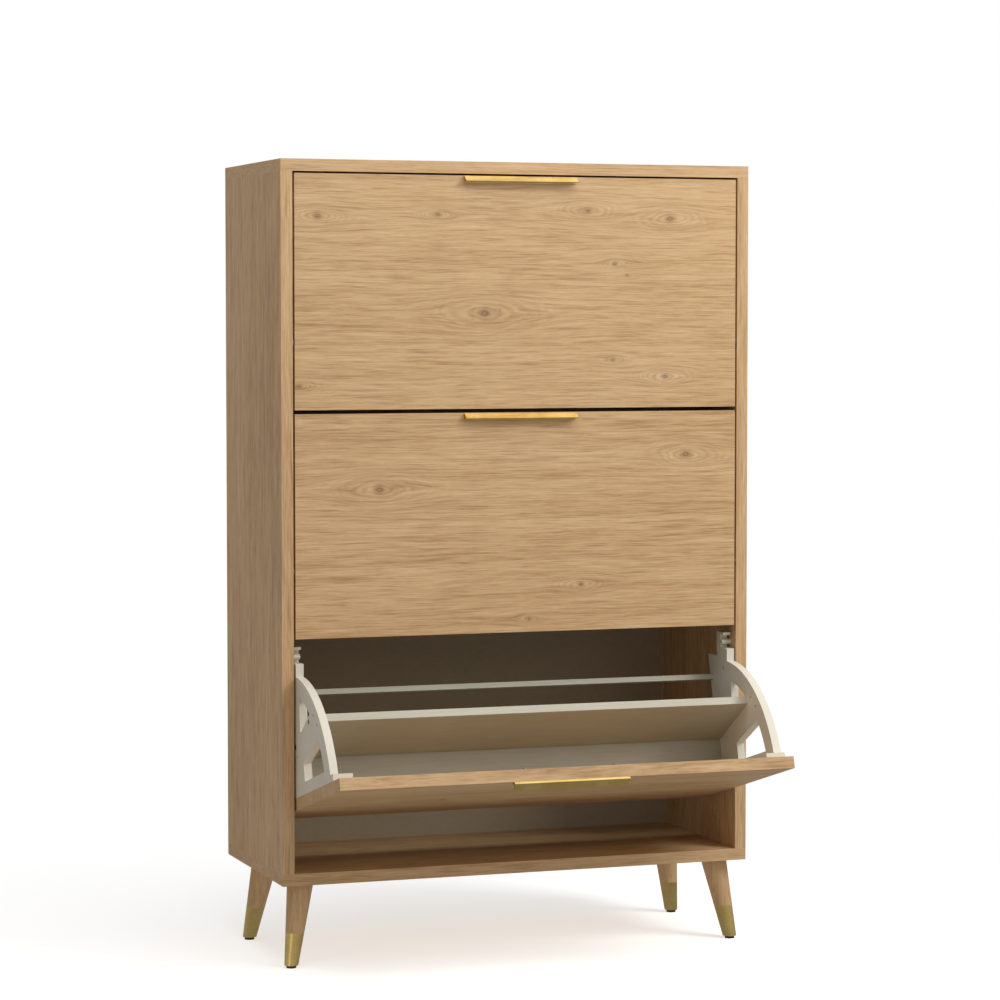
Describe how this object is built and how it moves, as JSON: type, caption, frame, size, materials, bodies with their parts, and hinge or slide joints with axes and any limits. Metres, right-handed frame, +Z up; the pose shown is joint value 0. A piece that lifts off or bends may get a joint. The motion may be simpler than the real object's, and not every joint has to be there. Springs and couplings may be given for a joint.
{
  "type": "shoe cabinet",
  "caption": "Oak-veneer shoe cabinet on splayed turned legs, with tip-out flaps that carry shoe racks on fan-shaped side plates; the lowest flap stands open.",
  "frame": {"origin": "on the floor, under the middle of the whole object's box with the lower flap open", "axes": "+Z up, +X to the right seen from the front, +Y to the back; the fronts face -Y"},
  "size_m": [0.75, 0.5482, 1.206],
  "materials": {
    "oak": "oak veneer, matt lacquer",
    "hardboard": "smooth board, grey-beige foil",
    "beech": "fluted beech, unfinished",
    "steel": "zinc plated, satin",
    "nylon": "moulded nylon, matt",
    "brass": "brushed satin brass",
    "black_plastic": "moulded, matt black",
    "cream_plastic": "moulded, fine texture, cream",
    "cream_laminate": "board with a matt cream laminate"
  },
  "bodies": {
    "carcass": {"top_panel": "oak", "bottom_panel": "oak", "left_side_panel": "oak", "right_side_panel": "oak", "back_panel": "hardboard", "upper_rear_rail": "hardboard", "lower_rear_rail": "hardboard", "dowels": "beech", "cam_bolts": "steel", "cam_locks": "steel", "cam_covers": "oak", "pivot_bushes": "nylon", "stop_pegs": "nylon", "front_left_leg": "oak", "front_right_leg": "oak", "back_left_leg": "oak", "back_right_leg": "oak", "front_left_ferrule": "brass", "front_right_ferrule": "brass", "back_left_ferrule": "brass", "back_right_ferrule": "brass", "floor_glides": "black_plastic", "leg_bolts": "steel", "leg_insert_nuts": "steel"},
    "upper_flap": {"upper_door": "oak", "upper_pull": "brass", "upper_left_plate": "cream_plastic", "upper_right_plate": "cream_plastic", "upper_divider": "cream_laminate", "upper_floor_board": "cream_laminate", "upper_heel_rail": "cream_laminate", "upper_pivot_pins": "steel", "upper_rack_screws": "steel", "upper_pull_screws": "steel"},
    "middle_flap": {"middle_door": "oak", "middle_pull": "brass", "middle_left_plate": "cream_plastic", "middle_right_plate": "cream_plastic", "middle_divider": "cream_laminate", "middle_floor_board": "cream_laminate", "middle_heel_rail": "cream_laminate", "middle_pivot_pins": "steel", "middle_rack_screws": "steel", "middle_pull_screws": "steel"},
    "lower_flap": {"lower_door": "oak", "lower_pull": "brass", "lower_left_plate": "cream_plastic", "lower_right_plate": "cream_plastic", "lower_divider": "cream_laminate", "lower_floor_board": "cream_laminate", "lower_heel_rail": "cream_laminate", "lower_pivot_pins": "steel", "lower_rack_screws": "steel", "lower_pull_screws": "steel"}
  },
  "joints": [
    {"name": "upper_flap_tilt", "type": "hinge", "parent": "carcass", "child": "upper_flap", "pos_m": [0, -0.03698, 0.934], "axis": [1, 0, 0], "range_deg": [0, 75]},
    {"name": "middle_flap_tilt", "type": "hinge", "parent": "carcass", "child": "middle_flap", "pos_m": [0, -0.03698, 0.594], "axis": [1, 0, 0], "range_deg": [0, 75]},
    {"name": "lower_flap_tilt", "type": "hinge", "parent": "carcass", "child": "lower_flap", "pos_m": [0, -0.03698, 0.246], "axis": [1, 0, 0], "range_deg": [-75, 0]}
  ]
}
